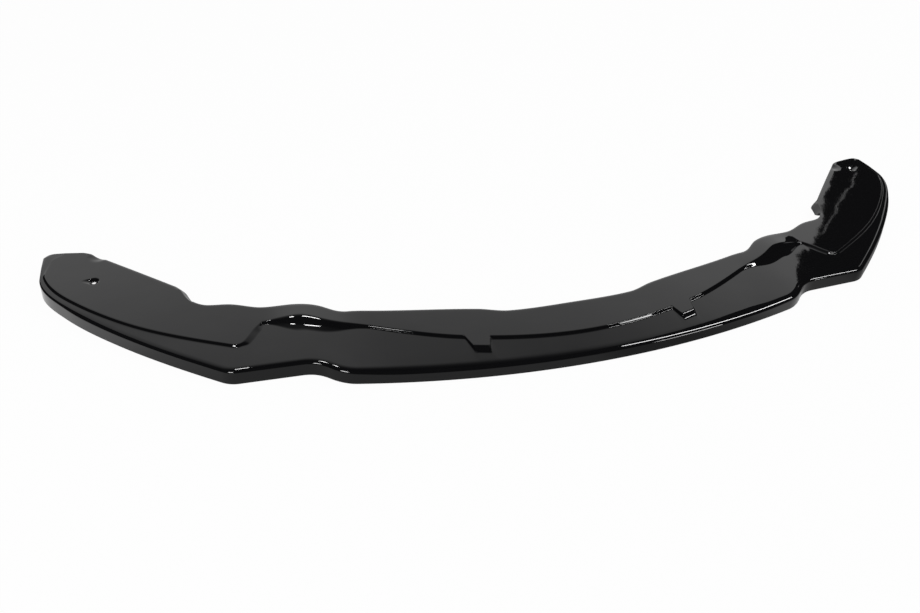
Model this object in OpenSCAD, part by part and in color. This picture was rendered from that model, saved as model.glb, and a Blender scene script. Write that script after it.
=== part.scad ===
// Front splitter lip: one formed sheet of even thickness, open underneath.
// Plan coordinates run from the middle of the front edge: x across, y to the rear, z up from the ground.
// The sheet is a loft: ribs run from the rear edge, over the plateau, down the step, over the blade
// and round the front edge to the foot of the skirt. One half is described and the other mirrors it.

/* [Overall] */
// Width from tip to tip
overall_w = 1690; // [1640:2:1740]
// Depth from the front edge to the rear of the tips
overall_d = 464; // [455:1:490]
// Thickness of the formed sheet
sheet_t = 4; // [3:0.5:5]
// Height of the raised plateau above the ground
plateau_z = 26.5; // [25.5:0.5:36]

/* [Centre blade] */
// Radius of the front edge, seen from above
front_r = 1670; // [1500:10:2400]
// Distance from the end of the centre blade to the outer side of a tip
blade_in = 443; // [435:1:465]
// Height of the front edge of the centre blade
blade_edge_z = 20; // [16:0.5:22]
// Width over which the centre blade rounds down to its skirt
blade_round = 17; // [8:1:20]

/* [Wings] */
// Distance from the start of a wing's straight front to the outer side of its tip
wing_in = 390; // [375:1:400]
// Setback of the wing's front behind the centre blade
wing_y = 82; // [76:1:92]
// Distance from the wing's front corner to the outer side of its tip
corner_in = 284; // [270:1:295]
// Setback of the wing's front corner
corner_y = 87; // [82:1:94]
// Height of the outer edge of a wing
wing_edge_z = 23.3; // [18:0.1:24]
// Width over which a wing rounds down to its skirt
wing_round = 11.5; // [7:0.5:13]
// Least flat width left on a wing's blade where it narrows towards the tip
blade_flat = 4; // [2:0.5:6]
// Slope of that narrowing blade
blade_slope = 0.07; // [0.02:0.01:0.12]
// Outward lean of the skirt from its top to its foot
skirt_lean = 2; // [0:0.5:4]

/* [Step] */
// Distance from the front edge to the step, at the middle
step_y = 51; // [44:1:58]
// Height of the step at the middle
step_h = 3.4; // [2:0.1:5]
// Height of the step on the wings
wing_step_h = 2.6; // [1:0.1:3.2]
// Run of the step's wall, seen from above
step_run = 3.2; // [2:0.2:5]
// Rounding of the creases of the step
crease_r = 2.8; // [1:0.2:4]
// Place of the bend in the wall of the step and the fins, as a share of its run
bend_at = 0.5; // [0.4:0.01:0.6]
// Share of the wall's drop above that bend
bend_drop = 0.57; // [0.4:0.01:0.6]
// Distance from the step's corner on a wing to the outer side of its tip
step_corner_in = 304; // [297:1:310]
// Setback of the step's corner on a wing
step_corner_y = 144; // [138:1:150]

/* [Fins] */
// Distance from the start of a fin, towards the middle, to the outer side of the tip
fin_start_in = 515; // [500:1:525]
// Distance from a fin's outer point to the outer side of the tip
fin_end_in = 344; // [337:1:353]
// Widest run of a fin's wall
fin_run = 27; // [14:1:30]
// Rise of the upper crease of a fin above the plateau
fin_rise = 4.5; // [0:0.5:8]
// Rise of the rear edge behind a fin
rear_rise = 1.4; // [0:0.2:4]

/* [Tabs] */
// Half width of the middle of a tab, as a share of the half width at which a fin starts
tab_share = 0.547; // [0.46:0.001:0.63]
// Width of a tab along its front
tab_w = 25; // [16:1:32]
// Reach of a tab over the blade
tab_reach = 28; // [15:1:34]
// Flare of each side of a tab, from its front to its root
tab_flare = 7; // [4:1:10]

/* [Rear edge] */
// Distance from the front edge to the rear edge, at the middle
rear_y = 124; // [112:1:140]
// Half width of the narrow middle stretch, as a share of the half width at which a fin starts
narrow_share = 0.333; // [0.25:0.001:0.36]
// Setback of the notch between the centre and a wing
notch_y = 256; // [250:1:262]
// Distance from the notch to the outer side of the tip
notch_in = 239; // [233:1:245]
// Drop of the flange turned down in the notch
notch_drop = 12; // [0:0.5:14]
// Lean of that flange away from the sheet
notch_lean = 7; // [3:0.5:9]
// Drop of the rounded rear edge
rear_drop = 1.2; // [0.4:0.2:2]

/* [Wing tips] */
// Length of the straight outer side of a tip
tip_side = 60; // [48:1:72]
// Radius of the tip's rear corner
tip_r = 10; // [6:1:16]
// Width of the rear end of a tip
tip_w = 77; // [65:1:90]
// Distance of that corner ahead of the rear of the tip
tip_inner_y = 14; // [8:1:22]
// Width over which the sheet rounds down where the step runs out
tip_round = 3.5; // [2:0.5:6]

/* [Screw holes] */
// Distance of the left screw hole from the outer side of its tip
left_hole_in = 88; // [78:1:98]
// Distance of the left screw hole from the rear of its tip
left_hole_back = 101; // [92:1:109]
// Distance of the right screw hole from the outer side of its tip
right_hole_in = 54; // [46:1:60]
// Distance of the right screw hole from the rear of its tip
right_hole_back = 45; // [38:1:60]
// Diameter of the screw holes
hole_d = 6.5; // [4:0.5:7]
// Diameter of the countersink round a screw hole
sink_d = 17; // [12:0.5:20]
// Depth of the countersink
sink_depth = 2.4; // [1:0.2:3]

/* [Recesses] */
// Distance of the recess in the rear edge from the outer side of its tip
recess_in = 93; // [85:1:101]
// Length of the recess along the rear edge
recess_l = 34; // [24:1:44]
// Width of the recess
recess_w = 16; // [10:1:22]
// Depth of the recess
recess_depth = 3; // [0.5:0.5:5]

/* [Hidden] */

// Half widths of the features, counted inwards from the outer side of a tip
half_w = overall_w / 2;
blade_x = half_w - blade_in;
wing_x = half_w - wing_in;
corner_x = half_w - corner_in;
step_corner_x = half_w - step_corner_in;
fin_start_x = half_w - fin_start_in;
fin_end_x = half_w - fin_end_in;
notch_x = half_w - notch_in;
tip_inner_x = half_w - tip_w;
recess_x = half_w - recess_in;
tab_x = tab_share * fin_start_x;
narrow_x = narrow_share * fin_start_x;
left_hole = [left_hole_in - half_w, overall_d - left_hole_back];
right_hole = [half_w - right_hole_in, overall_d - right_hole_back];

// Formed boss under a screw hole: its wall at the foot and at the rim, the width of the countersink's seat
// and the facets of its round forms
foot_wall = 3.5;
rim_wall = 1.5;
seat_w = 1.25;
hole_facets = 64;

// Ribs of the middle half, set by the half width at which each one lies
tab_half = tab_w / 2;
tab_offsets = [-tab_half - tab_flare, -tab_half - tab_flare / 2, -tab_half, 0,
               tab_half, tab_half + tab_flare / 2, tab_half + tab_flare];
fin_ribs = 14;
fin_l = fin_end_x - fin_start_x;
rib_xs = concat(
    [for (k = [0:3]) k * narrow_x / 4],
    [for (k = [0:2]) narrow_x + k * (tab_x + tab_offsets[0] - narrow_x) / 3],
    [for (d = tab_offsets) tab_x + d],
    [for (k = [1:5]) let (x0 = tab_x + tab_offsets[6]) x0 + k * (fin_start_x - x0) / 6],
    [for (k = [0:fin_ribs]) fin_start_x + k * fin_l / fin_ribs]);

// Smooth curves
function mix(a, b, t) = a + (b - a) * t;
function ease(a, b, x) = let (t = min(max((x - a) / (b - a), 0), 1)) t * t * (3 - 2 * t);
function unit(v) = v / norm(v);
function turned(v) = [v.y, -v.x];
function bezier(a, b, c, d, t) =
    a * pow(1 - t, 3) + 3 * b * t * pow(1 - t, 2) + 3 * c * t * t * (1 - t) + d * pow(t, 3);

// Curve over x through knots of [x, y, slope]
function span_of(knots, x, k = 0) = k >= len(knots) - 2 || x < knots[k + 1].x ? k : span_of(knots, x, k + 1);
function over_x(knots, x) =
    let (k = span_of(knots, x), p = knots[k], q = knots[k + 1], third = (q.x - p.x) / 3)
    bezier(p.y, p.y + p.z * third, q.y - q.z * third, q.y, (x - p.x) / (q.x - p.x));

// Curve in the plan through nodes of [x, y, heading]; whole values of u are the nodes
function plan(nodes, k) = [nodes[k].x, nodes[k].y];
function heading(a) = [cos(a), sin(a)];
function along(nodes, u) =
    let (k = min(floor(u), len(nodes) - 2),
         p = plan(nodes, k), q = plan(nodes, k + 1), third = norm(q - p) / 3)
    bezier(p, p + third * heading(nodes[k].z), q - third * heading(nodes[k + 1].z), q, u - k);
function tangent(nodes, u) =
    let (e = 0.02, last = len(nodes) - 1) unit(along(nodes, min(u + e, last)) - along(nodes, max(u - e, 0)));

// Front edge, seen from above: an arc, a double bend and the straight front of the wing
arc_end = blade_x - 24;
arc_y = front_r - sqrt(front_r * front_r - arc_end * arc_end);
arc_slope = arc_end / sqrt(front_r * front_r - arc_end * arc_end);
bend_slope = (wing_y - arc_y) / (wing_x - arc_end);
wing_slope = (corner_y - wing_y) / (corner_x - wing_x);
bend_knots = [
    [arc_end, arc_y, arc_slope],
    [(arc_end + wing_x) / 2, (arc_y + wing_y) / 2 + 3, 1.9 * bend_slope],
    [wing_x, wing_y, wing_slope],
    [corner_x, corner_y, wing_slope]];
function front_at(x) = x < arc_end ? front_r - sqrt(front_r * front_r - x * x) : over_x(bend_knots, x);

// Step, seen from above, with the upper crease of the fin
fin_y = step_corner_y + 47;
step_knots = [
    [0, step_y, 0],
    [0.6 * fin_start_x, step_y + 31, 0.29],
    [fin_start_x, step_y + 87, 0.5],
    [fin_start_x + 0.48 * fin_l, fin_y - 16, 0.65],
    [fin_start_x + 0.67 * fin_l, fin_y, 0.1],
    [fin_end_x, fin_y, -0.05]];

// Rear edge of the middle, seen from above, with its steps
rear_knots = [
    [0, rear_y, 0],
    [narrow_x, rear_y + 3.5, 0.12],
    [1.45 * narrow_x, rear_y + 19.5, 0.25],
    [fin_start_x + 5, notch_y - 74.5, 0.25],
    [fin_start_x + 36, notch_y - 69, 0.08],
    [fin_start_x + 62, notch_y - 57.5, 0.82],
    [fin_start_x + 82, notch_y - 42.5, 0.55],
    [fin_start_x + 110, notch_y - 32.5, 0.2],
    [fin_end_x, notch_y - 25, 0.24]];

// Straight rear end of a tip, from its inner corner to its outer one
tip_end = [tip_inner_x + 6, overall_d - tip_inner_y + 2.5];
tip_out = [half_w - tip_r, overall_d];
end_dir = unit(tip_out - tip_end);
tip_step = tip_out - 28 * end_dir;

// The three plan curves of a wing, from the fin's outer point to the tip
rear_nodes = [
    [fin_end_x, notch_y - 25, 15.6],
    [notch_x - 58, notch_y - 5.5, 14],
    [notch_x - 26, notch_y, 14],
    [notch_x, notch_y + 19, 52],
    [notch_x + 14, notch_y + 52, 70],
    [notch_x + 27, notch_y + 67, 44],
    [tip_inner_x - 10, overall_d - tip_inner_y - 9, 43],
    [tip_end.x, tip_end.y, 14]];
step_nodes = [
    [fin_end_x, fin_y, -45],
    [step_corner_x - 23, step_corner_y + 27, -60],
    [step_corner_x - 10, step_corner_y + 8, -50],
    [step_corner_x, step_corner_y + 1.5, -10],
    [step_corner_x + 11, step_corner_y + 4.5, 27],
    [half_w - 151, overall_d - 233, 37],
    [half_w - 49, overall_d - 138, 49],
    [half_w - 12, overall_d - tip_r - tip_side - 4, 74],
    [half_w - 18, overall_d - tip_r - 16, 96],
    [tip_step.x, tip_step.y, 90 + atan2(end_dir.y, end_dir.x)]];
outline_nodes = [
    [wing_x + 20, front_at(wing_x + 20), atan(wing_slope)],
    [corner_x - 13, front_at(corner_x - 13), atan(wing_slope)],
    [corner_x + 11, corner_y + 8.5, 37],
    [half_w - 124, overall_d - 245, 43.5],
    [half_w - 46, overall_d - 161.5, 52.5],
    [half_w, overall_d - tip_r - tip_side, 90],
    [half_w, overall_d - tip_r, 90],
    [tip_out.x, tip_out.y, 180]];

// Ribs of a wing: the place of each key rib on the three curves, and the ribs up to the next key
wing_keys = [
    [0, 0, 0, 3],
    [0.7, 1.6, 0.75, 3],
    [1, 3, 1, 4],
    [2, 4, 2, 3],
    [3, 4.33, 2.35, 3],
    [4, 4.7, 2.7, 3],
    [5, 5.15, 3.1, 3],
    [5.33, 5.6, 3.67, 2],
    [5.6, 5.92, 4.05, 3],
    [5.82, 6.45, 4.5, 2],
    [6, 7, 5, 3],
    [6.5, 8, 6, 3],
    [7, 9, 7, 0]];
wing_places = [for (k = [0:len(wing_keys) - 2], s = [1:wing_keys[k][3]])
    mix(wing_keys[k], wing_keys[k + 1], s / wing_keys[k][3])];

// How far a rib has come into the fin, the tab and the tip, from 0 to 1
function fin_at(x) = ease(fin_start_x + 5, fin_start_x + 105, x) * (1 - ease(fin_end_x - 56, fin_end_x, x));
function tab_at(x, inset) =
    ease(0, tab_flare, tab_half + tab_flare - inset - abs(x - tab_x));
function tip_at(u) = ease(4.3, 6, u);
function flange_at(u) = ease(2.8, 3.3, u) * (1 - ease(4, 4.8, u));

// One rib: [rear edge, upper crease, direction down the step, foot of the skirt, outward normal there,
// step height, edge height, edge rounding, fin share, flange share, outward normal at the rear edge]
function middle_rib(x) =
    let (out_x = x < fin_start_x ? x : mix(fin_start_x, wing_x + 20, (x - fin_start_x) / fin_l),
         e = 0.5, run = [2 * e, front_at(out_x + e) - front_at(abs(out_x - e))], w = ease(300, wing_x, x))
    [[x, over_x(rear_knots, x)], [x, over_x(step_knots, x)], [0, -1],
     [out_x, front_at(out_x)], out_x < e ? [0, -1] : turned(unit(run)),
     mix(step_h, wing_step_h, w), mix(blade_edge_z, wing_edge_z, w), mix(blade_round, wing_round, w),
     fin_at(x), 0, [0, 1]];
function wing_rib(p) =
    let (tip = tip_at(p[2]), h = wing_step_h * (1 - tip) + 0.3 * tip,
         foot = along(outline_nodes, p[2]), down = turned(tangent(step_nodes, p[1])),
         normal = unit(mix(turned(tangent(outline_nodes, min(p[2], 6))), end_dir, ease(5.8, 6.6, p[2]))),
         blade_w = (foot - along(step_nodes, p[1])) * normal - step_run - skirt_lean,
         round_w = min(wing_round, max(tip_round, blade_w - blade_flat)),
         narrow_z = plateau_z - h - blade_slope * (blade_w - round_w))
    [along(rear_nodes, p[0]), along(step_nodes, p[1]), down, foot, normal,
     h, max(narrow_z, mix(wing_edge_z, plateau_z - 0.8, tip)), round_w, 0,
     flange_at(p[0]), -turned(tangent(rear_nodes, p[0]))];
ribs = concat([for (x = rib_xs) middle_rib(x)], [for (p = wing_places) wing_rib(p)]);
rib_count = len(ribs);

// Recess at the rear edge of a tip
recess_at = [recess_x, over_x([[notch_x + 27, notch_y + 67, 0.94],
    [tip_inner_x - 10, overall_d - tip_inner_y - 9, 0.94]], recess_x)];
function recess_z(p) =
    let (v = p - recess_at, d = heading(43), a = v * d / (recess_l / 2), b = v * turned(d) / recess_w)
    recess_depth * pow(max(0, 1 - a * a - b * b), 1.5);

// Section of the sheet along one rib, from the rear edge to the foot of the skirt. For the upper skin
// t is 0, for the lower skin it is the thickness.
function flat_point(p, z) = [p.x, p.y, z];
function section(rib, t) =
    let (rear = rib[0], normal = rib[4], foot = rib[3], share = rib[8],
         back = 0.35 * t, tab = tab_reach * tab_at(rib[1].x, t / 2),
         crease = rib[1] + rib[2] * (tab - back),
         run = mix(step_run, fin_run, share),
         middle = crease + bend_at * run * rib[2], base = crease + run * rib[2],
         top_z = plateau_z + fin_rise * share, rear_z = plateau_z + rear_rise * share,
         turn = rib[9], away = rib[10],
         edge_w = rib[7], edge_drop = 0.42 * edge_w,
         edge_start = foot - normal * (skirt_lean + edge_w),
         blade_l = norm(edge_start - base), slope = (plateau_z - rib[5] - rib[6]) / (blade_l + tab),
         base_z = plateau_z - rib[5] - slope * tab,
         middle_z = mix(top_z, base_z, bend_drop),
         inward = unit(rear - crease), to_edge = unit(edge_start - base),
         e = min(crease_r, 0.3 * run), blade_e = min(crease_r, 0.3 * blade_l),
         wall_a = (middle_z - top_z) / (bend_at * run), wall_b = (base_z - middle_z) / ((1 - bend_at) * run),
         width = norm(rear - crease))
    concat(
        [flat_point(rear + away * turn * (notch_lean - 1.2 * t),
                    rear_z - rear_drop - recess_z(rear) - notch_drop * turn - t * (1 - turn))],
        [for (d = [mix(5, 1.5, turn), 13, width / 2])
            let (p = rear - inward * min(d, width / 2) - away * (d < 13 ? 0.5 * t * turn : 0))
            flat_point(p, mix(rear_z, top_z, min(d, width / 2) / width) - recess_z(p) - t)],
        [flat_point(crease + inward * crease_r, top_z - t),
         flat_point(crease, top_z + 0.25 * wall_a * e - t),
         flat_point(crease + rib[2] * e, top_z + wall_a * e - t),
         flat_point(middle - rib[2] * e / 2, middle_z - wall_a * e / 2 - t),
         flat_point(middle + rib[2] * e / 2, middle_z + wall_b * e / 2 - t),
         flat_point(base - rib[2] * e, base_z - wall_b * e - t),
         flat_point(base, base_z - 0.25 * wall_b * e - 0.25 * slope * blade_e - t),
         flat_point(base + to_edge * blade_e, base_z - slope * blade_e - t),
         flat_point(mix(base, edge_start, 0.55), mix(base_z, rib[6], 0.55) - t)],
        [for (s = [0, 0.3, 0.55, 0.75, 0.9, 1])
            let (a = [edge_w, 0], b = [0.42 * edge_w, -0.58 * edge_w * slope], c = [0, -0.35 * edge_drop],
                 d = [0, -edge_drop], p = bezier(a, b, c, d, s),
                 q = bezier(a, b, c, d, min(s + 0.02, 1)) - bezier(a, b, c, d, max(s - 0.02, 0)),
                 n = unit([q.y, q.x]) * t, plan_p = foot - normal * (skirt_lean + p.x - n.x))
            flat_point(plan_p, rib[6] + p.y + n.y)],
        [flat_point(foot - normal * t, 0)]);

function mirrored(row) = [for (p = row) [-p.x, p.y, p.z]];
function skin(t) = let (half = [for (r = ribs) section(r, t)])
    concat([for (k = [rib_count - 1:-1:1]) mirrored(half[k])], half);

// Closed sheet between the upper and the lower skin
module sheet() {
    upper = skin(0);
    lower = skin(sheet_t);
    rows = len(upper);
    cols = len(upper[0]);
    low = rows * cols;
    cells = [for (i = [0:rows - 2], j = [0:cols - 2]) [i * cols + j, (i + 1) * cols + j,
        (i + 1) * cols + j + 1, i * cols + j + 1, i < rows / 2 - 1 ? 1 : 0]];
    function top_faces(c) = c[4] == 1 ? [[c[0], c[1], c[3]], [c[1], c[2], c[3]]]
                                      : [[c[0], c[1], c[2]], [c[0], c[2], c[3]]];
    function flipped(f) = [f[0] + low, f[2] + low, f[1] + low];
    function strip(a, b) = [[a, b, b + low], [a, b + low, a + low]];
    faces = concat(
        [for (c = cells, f = top_faces(c)) f],
        [for (c = cells, f = top_faces(c)) flipped(f)],
        [for (i = [0:rows - 2], f = strip((i + 1) * cols, i * cols)) f],
        [for (i = [0:rows - 2], f = strip(i * cols + cols - 1, (i + 1) * cols + cols - 1)) f],
        [for (j = [0:cols - 2], f = strip(j, j + 1)) f],
        [for (j = [0:cols - 2], f = strip((rows - 1) * cols + j + 1, (rows - 1) * cols + j)) f]);
    polyhedron(points = [for (row = concat(upper, lower), p = row) p], faces = faces, convexity = 6);
}

// Formed boss under a screw hole, and what is cut out of it
module sink_boss(place) {
    depth = sheet_t + sink_depth;
    translate([place.x, place.y, plateau_z - depth])
        cylinder(h = depth - 1, d1 = hole_d + 2 * foot_wall, d2 = sink_d + 2 * rim_wall, $fn = hole_facets);
}

module sink_cut(place) {
    translate([place.x, place.y, plateau_z - sink_depth])
        cylinder(h = sink_depth + 0.01, d1 = hole_d + 2 * seat_w, d2 = sink_d, $fn = hole_facets);
    translate([place.x, place.y, plateau_z - sheet_t - sink_depth - 1])
        cylinder(h = sheet_t + sink_depth + 2, d = hole_d, $fn = hole_facets);
}

module splitter_lip() {
    color([0.03, 0.03, 0.035])
        translate([0, -overall_d / 2, 0])
            difference() {
                union() {
                    sheet();
                    sink_boss(left_hole);
                    sink_boss(right_hole);
                }
                sink_cut(left_hole);
                sink_cut(right_hole);
            }
}

splitter_lip();
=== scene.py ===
import math

import bmesh
import bpy
import numpy as np
from mathutils import Matrix


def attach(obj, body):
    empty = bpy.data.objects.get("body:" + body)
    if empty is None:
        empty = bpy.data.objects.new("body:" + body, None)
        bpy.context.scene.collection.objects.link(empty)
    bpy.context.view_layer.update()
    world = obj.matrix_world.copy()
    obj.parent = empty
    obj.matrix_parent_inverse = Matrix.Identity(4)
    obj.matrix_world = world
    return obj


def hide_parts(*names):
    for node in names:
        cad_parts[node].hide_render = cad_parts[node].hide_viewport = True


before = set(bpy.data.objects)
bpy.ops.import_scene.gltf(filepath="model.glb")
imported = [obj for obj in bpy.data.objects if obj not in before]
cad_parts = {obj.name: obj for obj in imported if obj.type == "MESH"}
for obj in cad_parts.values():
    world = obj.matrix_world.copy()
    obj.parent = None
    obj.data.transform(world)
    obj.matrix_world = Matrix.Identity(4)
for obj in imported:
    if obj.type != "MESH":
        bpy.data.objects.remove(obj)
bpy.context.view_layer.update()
scene = bpy.context.scene

# The formed sheet. One piece of gloss black plastic, drawn over a mould: plateau, step, blade, rounded
# edge and turned-down skirt run into each other. Sizes are in millimetres, y from the middle of the
# front edge to the rear, and the shape is carried along ribs that cross the sheet.
overall_w, overall_d, sheet_t, plateau_z = 1690.0, 464.0, 4.0, 26.5
half_w = overall_w / 2

# Blade and front edge: an arc in the middle, then the double bend, then a wing up to its outer corner.
front_r, blade_x, blade_edge_z, blade_round = 1670.0, 402.0, 20.0, 17.0
wing_x, wing_y, corner_x, corner_y, wing_edge_z, wing_round = 455.0, 82.0, 561.0, 87.0, 23.3, 11.5
wing_blend_x = 300.0
blade_flat, blade_slope, skirt_lean = 4.0, 0.07, 2.0
edge_depth, edge_near, edge_pull = 0.42, 0.58, 0.35

# Step from the plateau down to the blade: its place, height, width and bends, and its corner on a wing.
step_y, step_h, wing_step_h, step_run, crease_r, bend_at, bend_drop = 51.0, 3.4, 2.6, 3.2, 2.8, 0.5, 0.57
step_corner_x, step_corner_y, link_run = 541.0, 144.0, 5.5

# Fins, each with a straight ridge in plan, and the tabs that reach forward from the step and end in a ramp.
fin_start_x, fin_end_x, fin_run, fin_rise, rear_rise = 330.0, 501.0, 30.0, 4.5, 1.4
fin_drop, ridge_slope, ridge_in, ridge_back = 0.62, 0.374, 3.0, 0.5
tab_x, tab_w, tab_reach, tab_ramp, tab_flare, tab_soft = 180.5, 25.0, 24.0, 6.0, 7.0, 0.16

# Rear edge with its notches and turned-down flanges, the tips, and the scoop in each tip's rear edge.
rear_y, narrow_x, notch_y, notch_x, notch_drop, notch_lean = 124.0, 109.9, 256.0, 606.0, 12.0, 7.0
rear_drop, flange_in, inner_pull = 1.2, 1.2, 0.35
tip_side, tip_r, tip_inner_x, tip_inner_y, tip_round = 60.0, 10.0, 768.0, 14.0, 3.5
recess_x, recess_l, recess_w, recess_depth, recess_turn = 752.0, 34.0, 16.0, 3.0, 43.0


def mix(a, b, t):
    """The value that lies t of the way from a to b."""
    return a + (b - a) * t


def ease(a, b, x):
    """0 before a, 1 after b, and 3 t squared minus 2 t cubed between them."""
    t = np.clip((x - a) / (b - a), 0.0, 1.0)
    return t * t * (3 - 2 * t)


def unit(v):
    """Each vector divided by its length."""
    return v / np.linalg.norm(v, axis=-1, keepdims=True)


def turned(v):
    """Plan vectors turned a quarter to the right: (x, y) becomes (y, -x)."""
    return np.stack([v[..., 1], -v[..., 0]], -1)


def bezier(a, b, c, d, t):
    """Cubic curve from a to d with handles b and c, weighted by (1-t)^3, 3t(1-t)^2, 3t^2(1-t) and t^3."""
    return a * (1 - t) ** 3 + 3 * b * t * (1 - t) ** 2 + 3 * c * t * t * (1 - t) + d * t ** 3


def over_x(knots, x):
    """Height of the curve over x through knots of (x, y, slope), one cubic for each stretch."""
    knots = np.asarray(knots, float)
    k = np.clip(np.searchsorted(knots[:, 0], x, "right") - 1, 0, len(knots) - 2)
    p, q = knots[k], knots[k + 1]
    third = (q[..., 0] - p[..., 0]) / 3
    t = (x - p[..., 0]) / (q[..., 0] - p[..., 0])
    return bezier(p[..., 1], p[..., 1] + p[..., 2] * third, q[..., 1] - q[..., 2] * third, q[..., 1], t)


def along(nodes, u):
    """Plan curve through nodes of (x, y, heading in degrees); each handle is a third of the chord long."""
    nodes = np.asarray(nodes, float)
    k = np.clip(np.floor(u).astype(int), 0, len(nodes) - 2)
    p, q = nodes[k], nodes[k + 1]
    third = np.linalg.norm(q[:, :2] - p[:, :2], axis=1)[:, None] / 3
    go = lambda n: np.stack([np.cos(np.radians(n[:, 2])), np.sin(np.radians(n[:, 2]))], 1)
    return bezier(p[:, :2], p[:, :2] + third * go(p), q[:, :2] - third * go(q), q[:, :2], (u - k)[:, None])


def tangent(nodes, u):
    """Direction of the plan curve at u, from two points close by."""
    last = len(nodes) - 1
    return unit(along(nodes, np.minimum(u + 0.02, last)) - along(nodes, np.maximum(u - 0.02, 0)))


arc_end = blade_x - 24
arc_root = math.sqrt(front_r ** 2 - arc_end ** 2)
arc_y = front_r - arc_root
wing_slope = (corner_y - wing_y) / (corner_x - wing_x)
bend_knots = [
    [arc_end, arc_y, arc_end / arc_root],
    [(arc_end + wing_x) / 2, (arc_y + wing_y) / 2 + 3, 1.9 * (wing_y - arc_y) / (wing_x - arc_end)],
    [wing_x, wing_y, wing_slope],
    [corner_x, corner_y, wing_slope]]


def front_at(x):
    """Front edge in plan: an arc in the middle, then the double bend and the straight front of a wing."""
    return np.where(x < arc_end, front_r - np.sqrt(front_r ** 2 - np.minimum(x, arc_end) ** 2),
                    over_x(bend_knots, np.maximum(x, arc_end)))


fin_l, fin_y = fin_end_x - fin_start_x, step_corner_y + 47
step_knots = [
    [0, step_y, 0],
    [0.6 * fin_start_x, step_y + 31, 0.29],
    [fin_start_x, step_y + 87, 0.5],
    [fin_start_x + 0.48 * fin_l, fin_y - 16, 0.65],
    [fin_start_x + 0.67 * fin_l, fin_y, 0.1],
    [fin_end_x, fin_y, -0.05]]
rear_knots = [
    [0, rear_y, 0],
    [narrow_x, rear_y + 3.5, 0.12],
    [1.45 * narrow_x, rear_y + 19.5, 0.25],
    [fin_start_x + 5, notch_y - 74.5, 0.25],
    [fin_start_x + 36, notch_y - 69, 0.08],
    [fin_start_x + 62, notch_y - 57.5, 0.82],
    [fin_start_x + 82, notch_y - 42.5, 0.55],
    [fin_start_x + 110, notch_y - 32.5, 0.2],
    [fin_end_x, notch_y - 25, 0.24]]
tip_end = np.array([tip_inner_x + 6, overall_d - tip_inner_y + 2.5])
tip_out = np.array([half_w - tip_r, overall_d])
end_dir = unit(tip_out - tip_end)
tip_step = tip_out - 28 * end_dir
rear_nodes = [
    [fin_end_x, notch_y - 25, 15.6],
    [notch_x - 58, notch_y - 5.5, 14],
    [notch_x - 26, notch_y, 14],
    [notch_x, notch_y + 19, 52],
    [notch_x + 14, notch_y + 52, 70],
    [notch_x + 27, notch_y + 67, 44],
    [tip_inner_x - 10, overall_d - tip_inner_y - 9, 43],
    [tip_end[0], tip_end[1], 14]]
step_nodes = [
    [fin_end_x, fin_y, -45],
    [step_corner_x - 23, step_corner_y + 27, -60],
    [step_corner_x - 10, step_corner_y + 8, -50],
    [step_corner_x, step_corner_y + 1.5, -10],
    [step_corner_x + 11, step_corner_y + 4.5, 27],
    [half_w - 151, overall_d - 233, 37],
    [half_w - 49, overall_d - 138, 49],
    [half_w - 12, overall_d - tip_r - tip_side - 4, 74],
    [half_w - 18, overall_d - tip_r - 16, 96],
    [tip_step[0], tip_step[1], 90 + math.degrees(math.atan2(end_dir[1], end_dir[0]))]]
outline_nodes = [
    [wing_x + 20, float(front_at(wing_x + 20)), math.degrees(math.atan(wing_slope))],
    [corner_x - 13, float(front_at(corner_x - 13)), math.degrees(math.atan(wing_slope))],
    [corner_x + 11, corner_y + 8.5, 37],
    [half_w - 124, overall_d - 245, 43.5],
    [half_w - 46, overall_d - 161.5, 52.5],
    [half_w, overall_d - tip_r - tip_side, 90],
    [half_w, overall_d - tip_r, 90],
    [tip_out[0], tip_out[1], 180]]
wing_keys = np.array([
    [0, 0, 0], [0.7, 1.6, 0.75], [1, 3, 1], [2, 4, 2], [3, 4.33, 2.35], [4, 4.7, 2.7], [5, 5.15, 3.1],
    [5.33, 5.6, 3.67], [5.6, 5.92, 4.05], [5.82, 6.45, 4.5], [6, 7, 5], [6.5, 8, 6], [7, 9, 7]])
wing_ribs = [16, 16, 26, 14, 14, 16, 26, 22, 24, 20, 18, 22]


def middle_ribs(x):
    """Rib values for half widths x of the middle: rear point, crease, direction down the step, foot of the
    skirt, outward normal, step height, edge height, edge rounding, fin share, link share, flange share,
    rear normal."""
    out_x = np.where(x < fin_start_x, x, mix(fin_start_x, wing_x + 20, (x - fin_start_x) / fin_l))
    near = 0.5
    run = np.stack([np.full_like(x, 2 * near), front_at(out_x + near) - front_at(np.abs(out_x - near))], 1)
    normal = np.where(out_x[:, None] < near, [0.0, -1.0], turned(unit(run)))
    wing = ease(wing_blend_x, wing_x, x)
    fin = ease(fin_start_x + 5, fin_start_x + 105, x) * (1 - ease(fin_end_x - 56, fin_end_x, x))
    down = np.tile([0.0, -1.0], (len(x), 1))
    return [np.stack([x, over_x(rear_knots, x)], 1), np.stack([x, over_x(step_knots, x)], 1), down,
            np.stack([out_x, front_at(out_x)], 1), normal, mix(step_h, wing_step_h, wing),
            mix(blade_edge_z, wing_edge_z, wing), mix(blade_round, wing_round, wing), fin,
            0 * x, 0 * x, -down]


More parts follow.
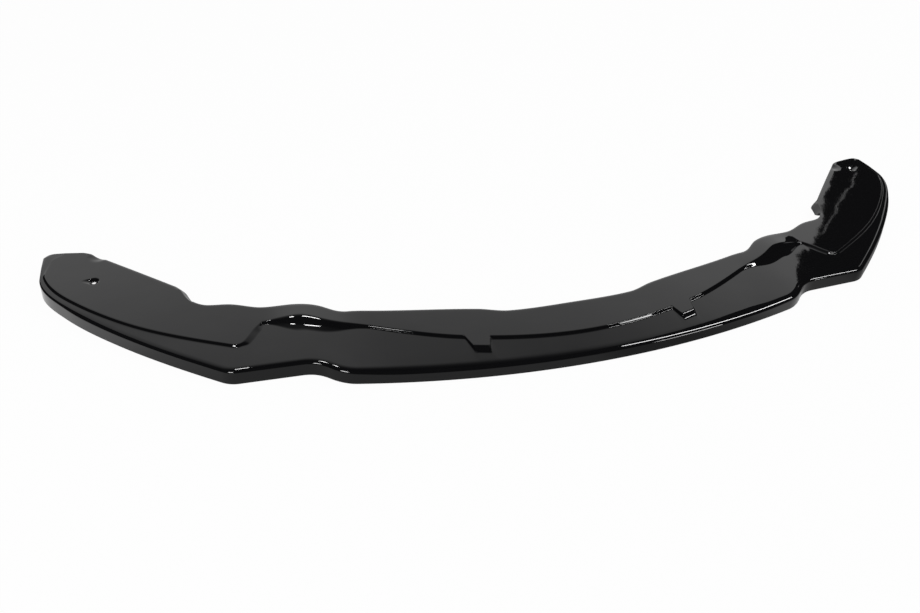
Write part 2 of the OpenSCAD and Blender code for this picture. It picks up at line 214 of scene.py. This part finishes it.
def wing_rib_values(p):
    """The same values for a wing, at the places p on the rear edge, the crease and the outline."""
    tip = ease(4.3, 6, p[:, 2])
    foot, crease = along(outline_nodes, p[:, 2]), along(step_nodes, p[:, 1])
    side = turned(tangent(outline_nodes, np.minimum(p[:, 2], 6)))
    normal = unit(mix(side, end_dir, ease(5.8, 6.6, p[:, 2])[:, None]))
    blade_w = ((foot - crease) * normal).sum(1) - step_run - skirt_lean
    round_w = np.minimum(wing_round, np.maximum(tip_round, blade_w - blade_flat))
    step_z = mix(wing_step_h, 0.3, tip)
    narrow_z = plateau_z - step_z - blade_slope * (blade_w - round_w)
    link = ease(0, 0.6, p[:, 1]) * (1 - ease(1.9, 2.8, p[:, 1]))
    flange = ease(2.8, 3.3, p[:, 0]) * (1 - ease(4, 4.8, p[:, 0]))
    edge_z = np.maximum(narrow_z, mix(wing_edge_z, plateau_z - 0.8, tip))
    return [along(rear_nodes, p[:, 0]), crease, turned(tangent(step_nodes, p[:, 1])), foot, normal,
            step_z, edge_z, round_w, 0 * tip, link, flange, -turned(tangent(rear_nodes, p[:, 0]))]


tab_edge = tab_w / 2 + tab_flare
mid_x = np.unique(np.round(np.concatenate([
    np.linspace(0, fin_start_x, 90), np.linspace(fin_start_x, fin_end_x, 70),
    tab_x + np.linspace(-tab_edge - 1, -tab_edge + tab_flare + 1, 20),
    tab_x + np.linspace(tab_edge - tab_flare - 1, tab_edge + 1, 20)]), 3))
spans = [mix(a, b, ((np.arange(n) + 1) / n)[:, None])
         for a, b, n in zip(wing_keys, wing_keys[1:], wing_ribs)]
half = [np.concatenate([a, b]) for a, b in zip(middle_ribs(mid_x), wing_rib_values(np.concatenate(spans)))]

recess_at = np.array([recess_x, np.interp(recess_x, [notch_x + 27, tip_inner_x - 10],
                                          [notch_y + 67, overall_d - tip_inner_y - 9])])


def recess_z(p):
    """Depth of the scoop at the rear edge of a tip: the power 1.5 of one minus the squared distance."""
    go = np.array([math.cos(math.radians(recess_turn)), math.sin(math.radians(recess_turn))])
    a = (p - recess_at) @ go / (recess_l / 2)
    b = (p - recess_at) @ turned(go) / recess_w
    return recess_depth * np.clip(1 - a * a - b * b, 0, None) ** 1.5


def tab_at(x, inset):
    """Share of a tab at half width x: it climbs over the flare, with its two bends softened."""
    t = (tab_edge - inset - np.abs(x - tab_x)) / tab_flare
    low = np.where(np.abs(t) < tab_soft, (t + tab_soft) ** 2 / (4 * tab_soft), np.clip(t, 0, None))
    s = 1 - low
    return 1 - np.where(np.abs(s) < tab_soft, (s + tab_soft) ** 2 / (4 * tab_soft), np.clip(s, 0, None))


def bend(a, corner, b, r_in, r_out, count):
    """Fillet at a corner between a and b: a quadratic curve from r_in before it to r_out after it."""
    start = corner + unit(a - corner) * r_in[:, None]
    end = corner + unit(b - corner) * r_out[:, None]
    s = np.linspace(0, 1, count)[:, None, None]
    return list(start * (1 - s) ** 2 + 2 * corner * s * (1 - s) + end * s * s)


def lift(p, z):
    """Plan points p with the heights z."""
    return np.concatenate([p, np.broadcast_to(z, len(p))[:, None]], 1)


def skin(ribs, t):
    """One skin of the sheet, from the rear edge to the foot of the skirt, as points by section and rib:
    flat plateau, filleted step and fin, sloping blade, one cubic round the edge, leaning skirt.
    t is 0 for the upper skin and the thickness for the lower one."""
    rear, crease0, down, foot, normal, rib_step, edge_z, edge_w, fin, link, turn, away = ribs
    column = lambda v: v[:, None]

    # Plan of the step: crease above, ridge or bend in the middle, base below.
    tab_share = tab_at(crease0[:, 0], t / 2) * (crease0[:, 0] < fin_start_x)
    tab = tab_reach * tab_share
    crease = crease0 + down * column(tab - inner_pull * t)
    run = mix(step_run, fin_run, fin) + link_run * link + tab_ramp * tab_share
    ridge_y = fin_y + ridge_back - ridge_slope * (fin_end_x - ridge_in - crease0[:, 0])
    ridge_at = mix(bend_at, np.clip((crease0[:, 1] - ridge_y) / run, 0.45, 0.85), ease(0, 0.2, fin))
    above = mix(bend_drop, fin_drop, fin)
    ridge_drop = ridge_at * above / (ridge_at * above + (1 - ridge_at) * (1 - above))
    middle, base = crease + column(ridge_at * run) * down, crease + column(run) * down

    # Heights of the plateau, the step's base and the blade.
    top_z, rear_z = plateau_z + fin_rise * fin, plateau_z + rear_rise * fin
    edge_drop = edge_depth * edge_w
    edge_start = foot - normal * column(skirt_lean + edge_w)
    blade_l = np.linalg.norm(edge_start - base, axis=1)
    slope = (plateau_z - rib_step - edge_z) / (blade_l + tab)
    base_z = plateau_z - rib_step - slope * tab
    middle_z = mix(top_z, base_z, ridge_drop)

    # Rear margin: rolled down a little, turned down as a flange in the notch, and scooped at the tip.
    inward, width = unit(rear - crease), np.linalg.norm(rear - crease, axis=1)
    lean = notch_lean - flange_in * t
    rows = [lift(rear + away * column(turn * lean),
                 rear_z - rear_drop - recess_z(rear) - notch_drop * turn - t * (1 - turn))]
    for share in (0.75, 0.5, 0.25):
        back = 5 * (1 - share) * (1 - 0.9 * turn)
        p = rear + away * column(turn * lean * share ** 1.5) - inward * column(back)
        drop = rear_drop * share ** 2 + notch_drop * turn * share
        rows.append(lift(p, rear_z - drop - recess_z(p) - t * (1 - turn * share)))
    for d in (5, 9, 13, 17, 21):
        far = np.minimum(mix(d, d * 0.7, turn), width * (d / 50 + 0.1))
        p = rear - inward * column(far) - away * column(0.5 * t * turn * (d < 9))
        rows.append(lift(p, mix(rear_z, top_z, far / width) - recess_z(p) - t))

    # Plateau, the step's three fillets, and the blade.
    corner_u, corner_m = lift(crease, top_z - t), lift(middle, middle_z - t)
    corner_l = lift(base, base_z - t)
    edge_p = lift(edge_start, edge_z - t)
    wall_a = np.linalg.norm(corner_m - corner_u, axis=1)
    wall_b = np.linalg.norm(corner_l - corner_m, axis=1)
    r = np.full_like(width, crease_r)
    before, after = np.minimum(0.7 * r, 0.48 * wall_a), np.minimum(0.7 * r, 0.48 * wall_b)
    rows += [mix(rows[-1], corner_u, 0.5)]
    rows += bend(lift(rear, rear_z - t), corner_u, corner_m, r, np.minimum(1.6 * r, 0.48 * wall_a), 6)
    rows += bend(corner_u, corner_m, corner_l, before, after, 4)
    rows += bend(corner_m, corner_l, edge_p,
                 np.minimum(1.4 * r, 0.48 * wall_b), np.minimum(r, 0.45 * blade_l), 6)
    rows += [mix(rows[-1], edge_p, s) for s in (0.33, 0.66)]

    # Front edge: how far it still has to go and how far it has fallen, then the thickness along its normal.
    s = np.concatenate([np.linspace(0, 0.5, 6)[:-1], np.linspace(0.5, 1, 9)])[:, None]
    none = 0 * edge_w
    reach_of = (edge_w, edge_depth * edge_w, none, none)
    fall_of = (none, -edge_near * edge_w * slope, -edge_pull * edge_drop, -edge_drop)
    ahead, behind = np.minimum(s + 0.01, 1), np.maximum(s - 0.01, 0)
    far, fall = bezier(*reach_of, s), bezier(*fall_of, s)
    dx = bezier(*reach_of, ahead) - bezier(*reach_of, behind)
    dz = bezier(*fall_of, ahead) - bezier(*fall_of, behind)
    size = np.hypot(dx, dz)
    for k in range(len(s)):
        rows.append(lift(foot - normal * column(skirt_lean + far[k] - t * dz[k] / size[k]),
                         edge_z + fall[k] + t * dx[k] / size[k]))
    rows += [mix(rows[-1], lift(foot - normal * t, 0), q) for q in (0.3, 1.0)]
    return np.array(rows)


def sheet_grid():
    """Closed loop of both skins by rib, over both halves, in metres in the part's own frame."""
    upper, lower = skin(half, 0.0), skin(half, sheet_t)
    loop = np.concatenate([upper, lower[::-1]])
    both = np.concatenate([loop[:, :0:-1] * [-1, 1, 1], loop], 1)
    return (both - [0, overall_d / 2, 0]) / 1000


def solid_mesh(name, points, faces):
    """Object from a closed set of points and faces: doubles merged, normals turned outwards, shaded smooth
    where faces meet at less than the sharp angle."""
    mesh = bpy.data.meshes.new(name)
    mesh.from_pydata(points.tolist(), [], faces)
    shell = bmesh.new()
    shell.from_mesh(mesh)
    bmesh.ops.remove_doubles(shell, verts=shell.verts, dist=1e-6)
    bmesh.ops.recalc_face_normals(shell, faces=shell.faces)
    shell.to_mesh(mesh)
    shell.free()
    mesh.polygons.foreach_set("use_smooth", np.ones(len(mesh.polygons), bool))
    mesh.set_sharp_from_angle(angle=sharp_angle)
    piece = bpy.data.objects.new(name, mesh)
    scene.collection.objects.link(piece)
    return piece


def loop_faces(rows, ribs):
    """Quads between neighbouring ribs of a closed loop, and a strip from skin to skin at each end rib."""
    index = np.arange(rows * ribs).reshape(rows, ribs)
    after = np.roll(index, -1, 0)
    around = np.stack([index[:, :-1], after[:, :-1], after[:, 1:], index[:, 1:]], -1).reshape(-1, 4)
    up = np.arange(rows // 2 - 1)
    caps = [np.stack([index[up, end], index[up + 1, end],
                      index[rows - 2 - up, end], index[rows - 1 - up, end]], -1) for end in (0, ribs - 1)]
    return np.concatenate([around, *caps]).tolist()


sharp_angle = math.radians(35)
grid = sheet_grid()
sheet = solid_mesh("Formed_sheet", grid.reshape(-1, 3), loop_faces(*grid.shape[:2]))


# The two screw holes. A dished countersink with a run-out towards the outer side is pressed into each tip,
# the hole is drilled through it and opens out below, and the boss is the plastic that was pushed down.
left_hole, right_hole, hole_d, sink_d, sink_depth = [-757.0, 363.0], [791.0, 419.0], 6.5, 17.0, 2.4
tail_reach, tail_turn, tail_spread = 9.0, 0.24, 0.42


def turned_form(profile, centre, reach, side, count=96):
    """Surface of revolution from a profile of (radius, height, share): the radius grows by reach times the
    share times a bell curve of the angle from the outer side, which lies a little to the rear."""
    angle = np.linspace(0, 2 * np.pi, count, endpoint=False)
    radius, height, share = np.asarray(profile, float).T[:, :, None]
    out = tail_turn if side > 0 else np.pi - tail_turn
    off = (angle - out + np.pi) % (2 * np.pi) - np.pi
    r = radius + reach * share * np.exp(-(off / tail_spread) ** 2)
    ring = np.stack([r * np.cos(angle), r * np.sin(angle), np.broadcast_to(height, r.shape)], -1)
    index = np.arange(ring.shape[0] * count).reshape(-1, count)
    beside = np.roll(index, -1, 1)
    faces = np.stack([index[:-1], beside[:-1], beside[1:], index[1:]], -1).reshape(-1, 4).tolist()
    return (ring.reshape(-1, 3) + centre) / 1000, faces


def apply_boolean(piece, tool, operation):
    """Cuts the tool out of the piece, or joins it, and removes the tool."""
    step = piece.modifiers.new("tool", "BOOLEAN")
    step.operation, step.solver, step.object = operation, "EXACT", tool
    with bpy.context.temp_override(object=piece, active_object=piece):
        bpy.ops.object.modifier_apply(modifier=step.name)
    bpy.data.meshes.remove(tool.data)


bore_r, sink_r, on_axis = hole_d / 2, sink_d / 2, 0.001
boss_foot = -sheet_t - sink_depth
boss = [[on_axis, boss_foot, 0], [bore_r + 3.1, boss_foot, 0], [bore_r + 3.6, boss_foot + 0.4, 0],
        [sink_r + 1.3, -1.2, 0], [on_axis, -1.2, 0]]
press = [[on_axis, 1, 0], [sink_r + 3.4, 1, 1], [sink_r + 3, 0.03, 1], [sink_r + 1.5, -0.08, 0.95],
         [sink_r + 0.5, -0.28, 0.85], [sink_r - 0.3, -0.65, 0.6], [sink_r - 1.5, -1.25, 0.3],
         [bore_r + 1.1, -sink_depth - 0.2, 0], [bore_r + 0.35, -sink_depth - 0.65, 0],
         [bore_r, -sink_depth - 1.2, 0], [bore_r, -4.2, 0], [bore_r + 2.4, -6.6, 0],
         [bore_r + 2.4, -9, 0], [on_axis, -9, 0]]
for side, place in ((-1, left_hole), (1, right_hole)):
    centre = np.array([place[0], place[1] - overall_d / 2, plateau_z])
    apply_boolean(sheet, solid_mesh("boss", *turned_form(boss, centre, 0, side)), "UNION")
    apply_boolean(sheet, solid_mesh("press", *turned_form(press, centre, tail_reach, side)), "DIFFERENCE")

# The flats set the shading of the fillets beside them, and the holes leave no streaks on the plateau.
sheet.data.set_sharp_from_angle(angle=sharp_angle)
weigh = sheet.modifiers.new("weighted_normals", "WEIGHTED_NORMAL")
weigh.mode, weigh.keep_sharp = "FACE_AREA", True
with bpy.context.temp_override(object=sheet, active_object=sheet):
    bpy.ops.object.modifier_apply(modifier=weigh.name)


# The gloss of the moulded sheet. Black plastic coloured right through, drawn over a polished mould: a faint
# orange peel and a slow waviness bend the reflections, and thin dust lies on the faces that look up.
# Each relief is its waves to the metre, its detail and its depth in metres.
deep_black, grey_dust, plastic_ior = (0.004, 0.004, 0.0045, 1), (0.06, 0.059, 0.056, 1), 1.5
waves, ripples, peel = (7, 1.5, 0.0012), (90, 1, 0.000015), (420, 2, 0.000006)


def node(tree, kind, **values):
    """New node of a kind, with its own settings, such as the operation of a Math node."""
    made = tree.nodes.new(kind)
    for key, value in values.items():
        setattr(made, key, value)
    return made


def gloss_black():
    """Gloss black plastic with dust specks and rubbed roughness on Object coordinates, and three reliefs
    one on the other: slow waves, ripples and orange peel."""
    material = bpy.data.materials.new("Gloss_black_plastic")
    material.use_nodes = True
    tree = material.node_tree
    tree.nodes.clear()
    link = tree.links.new
    out = node(tree, "ShaderNodeOutputMaterial")
    shader = node(tree, "ShaderNodeBsdfPrincipled")
    link(shader.outputs["BSDF"], out.inputs["Surface"])
    shader.inputs["IOR"].default_value = plastic_ior
    place = node(tree, "ShaderNodeTexCoord")

    def noise(scale, detail, rough=0.5):
        """Cloudy noise of so many waves to the metre."""
        made = node(tree, "ShaderNodeTexNoise")
        link(place.outputs["Object"], made.inputs["Vector"])
        made.inputs["Scale"].default_value = scale
        made.inputs["Detail"].default_value = detail
        made.inputs["Roughness"].default_value = rough
        return made.outputs["Fac"]

    def spread(source, low, high, to_low, to_high):
        """The stretch from low to high laid straight onto to_low to to_high, and held beyond its ends."""
        made = node(tree, "ShaderNodeMapRange")
        link(source, made.inputs["Value"])
        for name, value in zip(("From Min", "From Max", "To Min", "To Max"), (low, high, to_low, to_high)):
            made.inputs[name].default_value = value
        return made.outputs["Result"]

    def maths(kind, a, b):
        """Result of a Math node on two values, each a number or another node's output."""
        made = node(tree, "ShaderNodeMath", operation=kind)
        for socket, value in zip(made.inputs, (a, b)):
            if isinstance(value, (int, float)):
                socket.default_value = value
            else:
                link(value, socket)
        return made.outputs["Value"]

    specks = spread(noise(900, 2), 0.70, 0.78, 0, 1)
    cloud = spread(noise(9, 4), 0.42, 0.75, 0, 1)
    up = node(tree, "ShaderNodeNewGeometry").outputs["Normal"]
    up_z = node(tree, "ShaderNodeSeparateXYZ")
    link(up, up_z.inputs["Vector"])
    looks_up = spread(up_z.outputs["Z"], 0.2, 0.95, 0, 1)
    patchy = maths("ADD", maths("MULTIPLY", cloud, 0.7), 0.3)
    dust = maths("MULTIPLY", maths("MULTIPLY", specks, patchy), looks_up)
    colour = node(tree, "ShaderNodeMix", data_type="RGBA")
    colour.inputs["A"].default_value = deep_black
    colour.inputs["B"].default_value = grey_dust
    link(maths("MULTIPLY", dust, 0.35), colour.inputs["Factor"])
    link(colour.outputs["Result"], shader.inputs["Base Color"])
    rubbed = spread(noise(38, 5, 0.6), 0.3, 0.8, 0.015, 0.04)
    link(maths("ADD", rubbed, maths("MULTIPLY", dust, 0.12)), shader.inputs["Roughness"])
    normal = None
    for scale, detail, depth in (waves, ripples, peel):
        relief = node(tree, "ShaderNodeBump")
        relief.inputs["Strength"].default_value = 1.0
        relief.inputs["Distance"].default_value = depth
        link(noise(scale, detail), relief.inputs["Height"])
        if normal:
            link(normal, relief.inputs["Normal"])
        normal = relief.outputs["Normal"]
    link(normal, shader.inputs["Normal"])
    return material


sheet.data.materials.clear()
sheet.data.materials.append(gloss_black())
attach(sheet, "root")
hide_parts("splitter_lip")


# The sheets and cloths of the studio, seen in the gloss alone: glowing panels that are no lamps, painted
# light and shade for the reflections. A tall white sheet curves up behind the part, its glow fading with
# height, dark cloth hangs round the rest as painted shade, and narrow lit strips stand before them. Their
# edges are lists of (elevation, azimuth) in degrees, the azimuth clockwise from the rear.
def set_stops(ramp, stops):
    """Straight stretches between the stops of (place, value) on a curve node, both from 0 to 1."""
    curve = ramp.mapping.curves[0]
    while len(curve.points) < len(stops):
        curve.points.new(0.5, 0.5)
    for point, stop in zip(curve.points, stops):
        point.location = stop
        point.handle_type = "VECTOR"
    ramp.mapping.update()


def lit_cloth(name, stops, radius):
    """Glowing cloth, painted light and shade for the gloss: its brightness follows its height, and stops
    are pairs of elevation in degrees and brightness.
    """
    material = bpy.data.materials.new(name)
    material.use_nodes = True
    material.cycles.emission_sampling = "NONE"
    tree = material.node_tree
    tree.nodes.clear()
    link = tree.links.new
    out = node(tree, "ShaderNodeOutputMaterial")
    glow = node(tree, "ShaderNodeEmission")
    place = node(tree, "ShaderNodeTexCoord")
    height = node(tree, "ShaderNodeSeparateXYZ")
    link(place.outputs["Object"], height.inputs["Vector"])
    share = node(tree, "ShaderNodeMath", operation="DIVIDE")
    link(height.outputs["Z"], share.inputs[0])
    share.inputs[1].default_value = radius
    ramp = node(tree, "ShaderNodeFloatCurve")
    link(share.outputs["Value"], ramp.inputs["Value"])
    peak = max(1.0, *(brightness for _, brightness in stops))
    set_stops(ramp, [(math.sin(math.radians(rise)), brightness / peak) for rise, brightness in stops])
    scale = node(tree, "ShaderNodeMath", operation="MULTIPLY")
    scale.inputs[1].default_value = peak
    link(ramp.outputs["Value"], scale.inputs[0])
    link(scale.outputs["Value"], glow.inputs["Strength"])
    link(glow.outputs["Emission"], out.inputs["Surface"])
    return material


def hang(name, cloth, stops, radius, left_edge, right_edge, low, high, count):
    """Part of a sphere round the object, between its two edges and two elevations: the point at (turn,
    rise) is the radius times (cos rise sin turn, cos rise cos turn, sin rise)."""
    rise = np.linspace(low, high, count)[:, None]
    left, right = [np.interp(rise, *zip(*edge)) for edge in (left_edge, right_edge)]
    turn = np.radians(left + (right - left) * np.linspace(0, 1, count)[None, :])
    rise = np.radians(rise)
    points = radius * np.stack([np.cos(rise) * np.sin(turn), np.cos(rise) * np.cos(turn),
                                np.sin(rise) + 0 * turn], -1)
    index = np.arange(count * count).reshape(count, count)
    faces = np.stack([index[:-1, :-1], index[1:, :-1], index[1:, 1:], index[:-1, 1:]], -1).reshape(-1, 4)
    mesh = bpy.data.meshes.new(name)
    mesh.from_pydata(points.reshape(-1, 3).tolist(), [], faces.tolist())
    mesh.materials.append(lit_cloth(cloth, stops, radius))
    hung = bpy.data.objects.new(name, mesh)
    scene.collection.objects.link(hung)
    hung.visible_camera = hung.visible_diffuse = hung.visible_shadow = False


def upright(azimuth):
    """Straight edge at one azimuth, from below the floor to overhead."""
    return [[-1, azimuth], [90, azimuth]]


def even(brightness):
    """The same brightness at every height."""
    return [(0, brightness), (90, brightness)]


sheet_far, cloth_far, strip_far = 80.0, 88.0, 72.0
sheet_stops = [(0, 0.9), (33, 0.9), (40, 0.75), (44, 0.62), (50, 0.48), (54, 0.32), (58, 0.13), (62, 0.06),
               (67, 0.02), (72, 0.0), (90, 0.0)]
sheet_left = [[-2, -33], [40, -33], [55, -38], [88, -40]]
sheet_right = [[-2, 45.6], [26.4, 45.6], [27, 45.95], [28, 46], [28.4, 46.6], [29.2, 46.6], [30, 45.9],
               [30.6, 46], [31.9, 46.95], [33, 46.8], [40, 47.5], [45, 50], [51, 52], [58, 56], [88, 60]]
front_stops = [(0, 0.3), (8, 0.2), (14, 0.03), (20, 0.01), (90, 0.01)]
gap_left = [[24, 47.15], [25.2, 47.1], [25.6, 46.9], [26.5, 46.88], [27.2, 46.65], [28.4, 46.5]]
gap_right = [[rise, azimuth + 0.07] for rise, azimuth in gap_left]
corner_left, corner_right = [[25, 130], [32, 126.5], [34, 125.2]], [[25, 144], [29, 141.5], [34, 138.2]]

# Painted light and shade in the gloss: the glowing sheet, cloths and strips.
hang("White_sheet", "White_sheet", sheet_stops, sheet_far, sheet_left, sheet_right, -1, 88, 48)
hang("Black_cloth_rear", "Black_cloth", even(0.01), cloth_far, upright(-110), upright(110), -1, 90, 48)
hang("Grey_cloth_front", "Grey_cloth", front_stops, cloth_far, upright(110), upright(250), -1, 90, 48)
hang("Light_strip", "Light_strip", even(1.0), strip_far, upright(56.5), upright(59.5), 4, 33, 12)
hang("Light_gap", "Light_gap", even(1.0), strip_far, gap_left, gap_right, 24, 28.4, 48)
hang("Light_corner", "Light_corner", even(18.0), strip_far, corner_left, corner_right, 26, 34, 12)


# The lamps of the studio: three soft boxes hung over the part. Their reflections draw the bright lines
# along the front edge, the step and the fins.
def soft_box(name, place, aim, width, length, radiance):
    """Area lamp that faces the aim, with its length as near to the x axis as it can be. Its radiance is
    even, so its power is radiance times area times pi."""
    lamp = bpy.data.lights.new(name, "AREA")
    lamp.shape, lamp.size, lamp.size_y = "RECTANGLE", length, width
    lamp.energy = radiance * width * length * math.pi
    box = bpy.data.objects.new(name, lamp)
    place, aim = np.asarray(place, float), np.asarray(aim, float)
    back = (place - aim) / np.linalg.norm(place - aim)
    side = np.array([1.0, 0.0, 0.0]) - back * back[0]
    side /= np.linalg.norm(side)
    axes = np.stack([side, np.cross(back, side), back], 1)
    box.matrix_world = Matrix([[*axes[i], place[i]] for i in range(3)] + [[0, 0, 0, 1]])
    scene.collection.objects.link(box)


soft_box("Strip_box_right", (2.535, 0.247, 3.227), (0.42, -0.05, 0), 0.24, 1.58, 32.0)
soft_box("Strip_box_left", (-1.95, -1.5, 3.0), (-0.5, -0.1, 0), 0.6, 0.8, 30.0)
soft_box("Strip_box_above", (-0.68, 1.11, 2.57), (-0.42, -0.05, 0), 0.14, 0.14, 45.0)


# The floor. It is painted white and keeps the part's shadow. In the gloss alone it glows with painted light
# along its length as the skirt shows it, bright at the left end and dim at the right.
def seen_directly(tree, camera_share, gloss_share):
    """Camera share for the camera's rays, gloss share for rays from a gloss or a clear part, else 0."""
    path = node(tree, "ShaderNodeLightPath")
    total = None
    for kind, share in (("Is Camera Ray", camera_share), ("Is Glossy Ray", gloss_share),
                        ("Is Transmission Ray", gloss_share)):
        part = node(tree, "ShaderNodeMath", operation="MULTIPLY")
        tree.links.new(path.outputs[kind], part.inputs[0])
        part.inputs[1].default_value = share
        if total:
            either = node(tree, "ShaderNodeMath", operation="MAXIMUM")
            tree.links.new(total, either.inputs[0])
            tree.links.new(part.outputs["Value"], either.inputs[1])
            part = either
        total = part.outputs["Value"]
    return total


floor_half, floor_share, floor_white = 40.0, 0.96, (0.8, 0.8, 0.8, 1)
# Painted light and shade in the gloss: the floor's glow along X, bright at the left end and dim at the
# right.
painted_floor_light = [(-1, 1.0), (-0.82, 1.0), (-0.74, 0.85), (-0.68, 0.6), (-0.56, 0.4), (0, 0.38), (0.06, 0.22),
               (0.2, 0.2), (0.3, 0.32), (0.37, 0.65), (0.4, 0.65), (0.44, 0.45), (0.54, 0.35), (0.6, 0.17),
               (1, 0.17)]

floor_paint = bpy.data.materials.new("White_floor")
floor_paint.use_nodes = True
tree = floor_paint.node_tree
tree.nodes.clear()
link = tree.links.new
out, blend = node(tree, "ShaderNodeOutputMaterial"), node(tree, "ShaderNodeMixShader")
matt, glow = node(tree, "ShaderNodeBsdfDiffuse"), node(tree, "ShaderNodeEmission")
matt.inputs["Color"].default_value = floor_white
place, across = node(tree, "ShaderNodeTexCoord"), node(tree, "ShaderNodeSeparateXYZ")
share, painted_light_curve = node(tree, "ShaderNodeMapRange"), node(tree, "ShaderNodeFloatCurve")
share.inputs["From Min"].default_value = -1.0
set_stops(painted_light_curve, [((x + 1) / 2, brightness) for x, brightness in painted_floor_light])
strength = node(tree, "ShaderNodeMath", operation="MAXIMUM")
link(place.outputs["Object"], across.inputs["Vector"])
link(across.outputs["X"], share.inputs["Value"])
link(share.outputs["Result"], painted_light_curve.inputs["Value"])
link(painted_light_curve.outputs["Value"], strength.inputs[0])
link(node(tree, "ShaderNodeLightPath").outputs["Is Camera Ray"], strength.inputs[1])
link(strength.outputs["Value"], glow.inputs["Strength"])
link(seen_directly(tree, floor_share, 1.0), blend.inputs["Fac"])
link(matt.outputs["BSDF"], blend.inputs[1])
link(glow.outputs["Emission"], blend.inputs[2])
link(blend.outputs["Shader"], out.inputs["Surface"])
floor_corners = [(floor_half * x, floor_half * y, 0) for x, y in ((-1, -1), (1, -1), (1, 1), (-1, 1))]
floor_mesh = bpy.data.meshes.new("Floor")
floor_mesh.from_pydata(floor_corners, [], [(0, 1, 2, 3)])
floor_mesh.materials.append(floor_paint)
floor = bpy.data.objects.new("Floor", floor_mesh)
scene.collection.objects.link(floor)


# The world. An even room light falls on the part and the floor, and the camera and the gloss see plain
# white.
room_light, backdrop = 0.45, 1.0
world = bpy.data.worlds.new("Studio")
scene.world = world
world.use_nodes = True
tree = world.node_tree
sky = tree.nodes["Background"]
level = node(tree, "ShaderNodeMapRange")
level.inputs["To Min"].default_value = room_light
level.inputs["To Max"].default_value = backdrop
tree.links.new(seen_directly(tree, 1.0, 1.0), level.inputs["Value"])
sky.inputs["Color"].default_value = (1, 1, 1, 1)
tree.links.new(level.outputs["Result"], sky.inputs["Strength"])


# The camera of the photograph: a short lens held over the left front, looking down along the part. Its
# place and axes were fitted to the outline of the part, in metres.
lens = bpy.data.cameras.new("Camera")
lens.sensor_fit, lens.sensor_width, lens.lens = "HORIZONTAL", 36.0, 31.31
camera = bpy.data.objects.new("Camera", lens)
right = (0.9566372, -0.2881698, 0.0424667)
down = (-0.1467461, -0.6027372, -0.7843299)
ahead = (0.2516164, 0.7440874, -0.6188886)
spot = (-0.516015, -1.054549, 0.839292)
camera.matrix_world = Matrix([[right[i], -down[i], -ahead[i], spot[i]] for i in range(3)] + [[0, 0, 0, 1]])
scene.collection.objects.link(camera)
scene.camera = camera
scene.view_settings.view_transform = "Standard"
